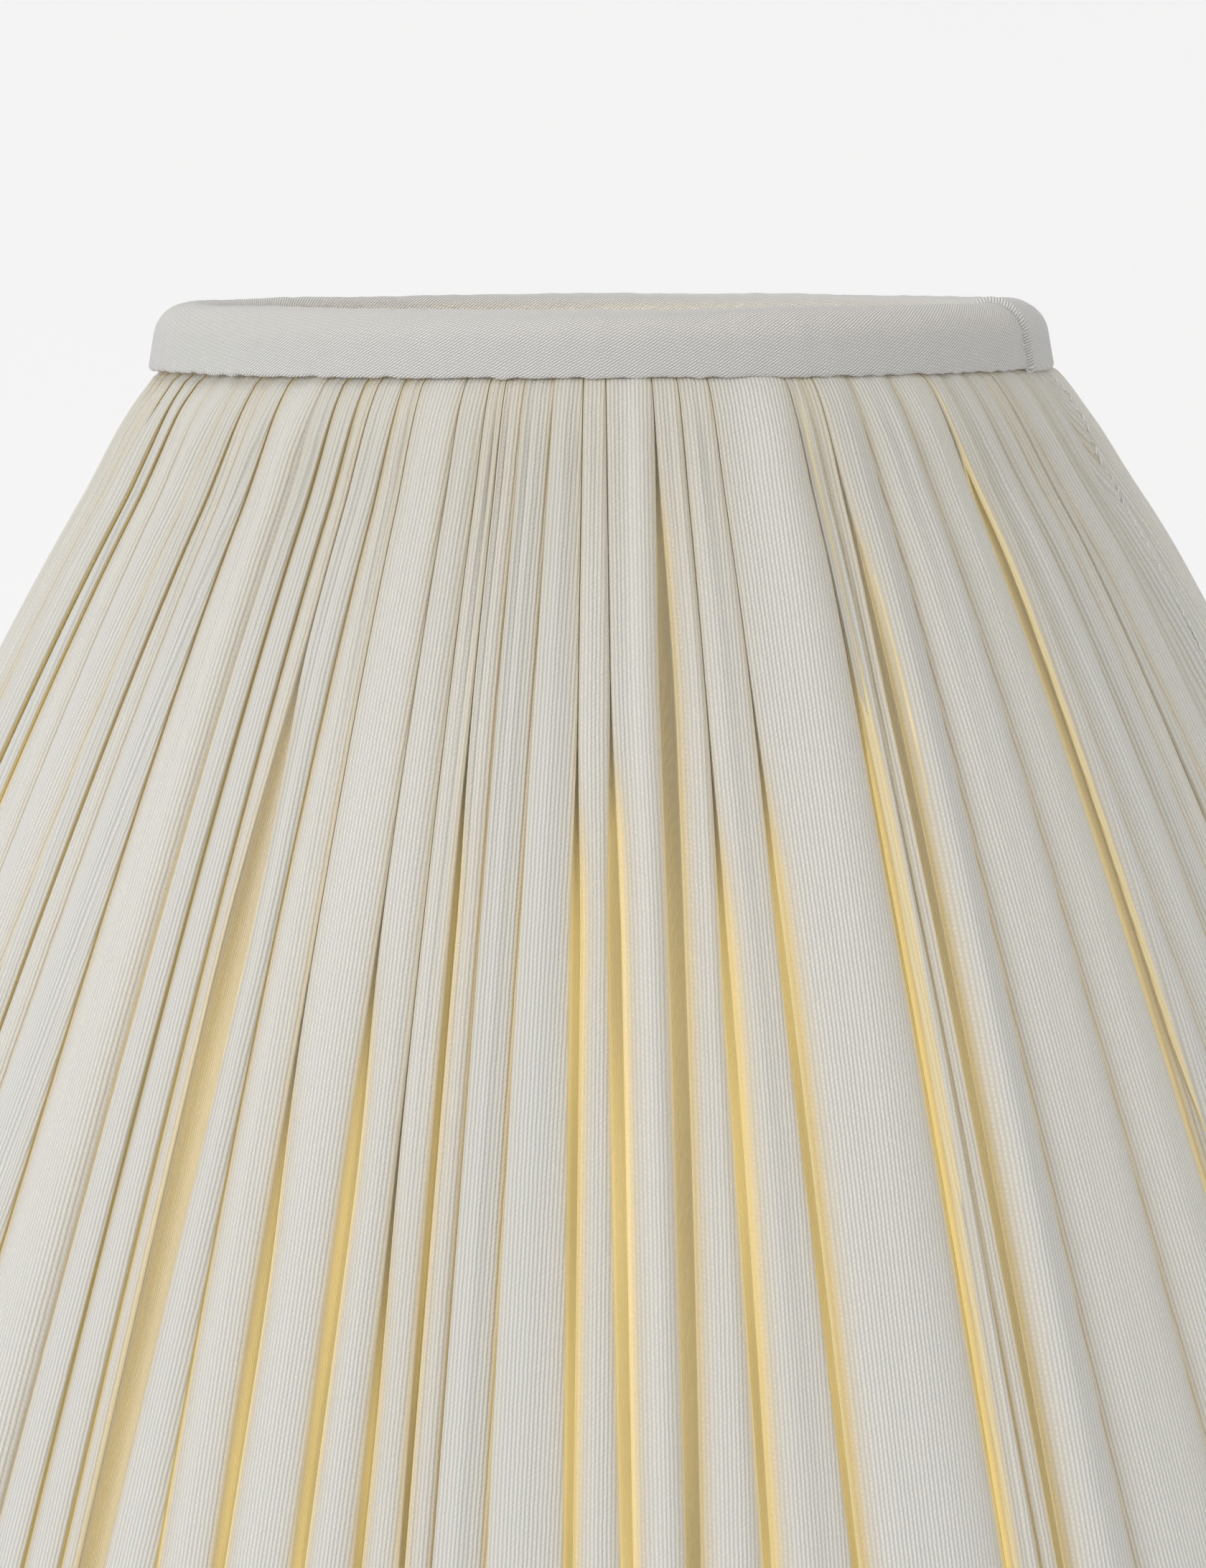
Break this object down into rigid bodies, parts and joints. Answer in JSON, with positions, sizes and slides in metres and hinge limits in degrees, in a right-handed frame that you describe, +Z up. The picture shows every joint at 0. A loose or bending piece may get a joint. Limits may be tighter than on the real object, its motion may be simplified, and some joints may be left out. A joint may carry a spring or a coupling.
{
  "type": "lamp shade",
  "caption": "Gathered empire lamp shade: cream cloth hand-pleated over a wire frame, with folded tape on both rims, a smooth lining and a recessed spider fitter.",
  "frame": {"origin": "centre of the bottom rim, on the surface that the shade stands on", "axes": "+Z up along the shade's axis, towards the smaller top rim; -Y is the side seen in front"},
  "size_m": [0.4064, 0.4064, 0.2771],
  "materials": {
    "gathered_cloth": "cream plain-weave cotton, matte, translucent",
    "binding": "ecru cotton twill cut on the bias, matte",
    "lining": "light ivory lining cloth, faint sheen, translucent",
    "cotton_tape": "woven cotton tape, matte",
    "frame_wire": "cream painted steel wire, satin",
    "fitter": "nickel plated steel, satin"
  },
  "bodies": {
    "root": {"top_ring": "frame_wire", "bottom_ring": "frame_wire", "strut_1": "frame_wire", "strut_2": "frame_wire", "strut_3": "frame_wire", "strut_4": "frame_wire", "strut_5": "frame_wire", "strut_6": "frame_wire", "strut_7": "frame_wire", "strut_8": "frame_wire", "fitter_arm_1": "fitter", "fitter_arm_2": "fitter", "fitter_arm_3": "fitter", "fitter_hub": "fitter", "top_ring_tape": "cotton_tape", "bottom_ring_tape": "cotton_tape", "gathered_cover": "gathered_cloth", "lining": "lining", "top_binding": "binding", "bottom_binding": "binding", "top_binding_join": "binding"}
  },
  "joints": []
}
